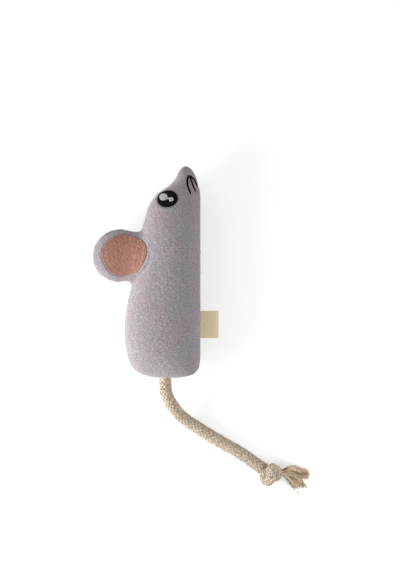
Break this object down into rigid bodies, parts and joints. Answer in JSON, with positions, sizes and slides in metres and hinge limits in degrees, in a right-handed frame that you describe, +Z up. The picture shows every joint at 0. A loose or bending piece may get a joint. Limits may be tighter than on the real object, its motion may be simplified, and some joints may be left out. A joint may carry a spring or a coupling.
{
  "type": "plush mouse cat toy",
  "caption": "Stuffed plush mouse lying on its side, with a rounded ear lobe, embroidered eye and whiskers, a folded side label and a knotted rope tail.",
  "frame": {"origin": "on the surface it lies on, under the middle of the box round the toy without its loose tail", "axes": "+Y from tail end to nose, +Z up out of the front panel, +X towards the side label"},
  "size_m": [0.1508, 0.2308, 0.0315],
  "materials": {
    "plush": "short pile plush",
    "black_thread": "satin stitch",
    "white_thread": "satin stitch",
    "ear_thread": "filling stitch",
    "ear_border_thread": "satin stitch",
    "woven_label": "woven ribbon",
    "rope": "braided natural fibre",
    "frayed_rope": "frayed natural fibre",
    "seam_thread": "sewing thread",
    "stuffing": "polyester fibre",
    "crinkle_film": "crinkled film",
    "sachet_cloth": "unbleached cloth"
  },
  "bodies": {
    "body": {"front_panel": "plush", "back_panel": "plush", "body_stuffing": "stuffing", "crinkle_film": "crinkle_film", "silver_vine_sachet": "sachet_cloth", "body_seam_thread": "seam_thread", "eye_front": "black_thread", "eye_highlights_front": "white_thread", "whiskers_front": "black_thread", "eye_back": "black_thread", "eye_highlights_back": "white_thread", "whiskers_back": "black_thread", "tail_inner_end": "rope"},
    "ear": {"ear_front_panel": "plush", "ear_back_panel": "plush", "ear_wadding": "stuffing", "ear_seam_thread": "seam_thread", "ear_patch_front": "ear_thread", "ear_patch_border_front": "ear_border_thread", "ear_patch_back": "ear_thread", "ear_patch_border_back": "ear_border_thread"},
    "label": {"side_label": "woven_label"},
    "tail": {"tail_rope": "rope", "tail_knot": "rope", "tail_tassel": "frayed_rope"}
  },
  "joints": [
    {"name": "ear_fold", "type": "hinge", "parent": "body", "child": "ear", "pos_m": [-0.00903, 0.0113, 0.0155], "axis": [0.1529, 0.9882, 0], "range_deg": [-20, 30], "stiffness_Nm_per_rad": 0.03},
    {"name": "label_flap", "type": "hinge", "parent": "body", "child": "label", "pos_m": [0.03168, -0.03524, 0.0155], "axis": [0, 1, 0], "range_deg": [-75, 75], "stiffness_Nm_per_rad": 0.0005},
    {"name": "tail_swing", "type": "hinge", "parent": "body", "child": "tail", "pos_m": [0.00611, -0.07793, 0.0155], "axis": [0, 0, 1], "range_deg": [-60, 35]}
  ]
}
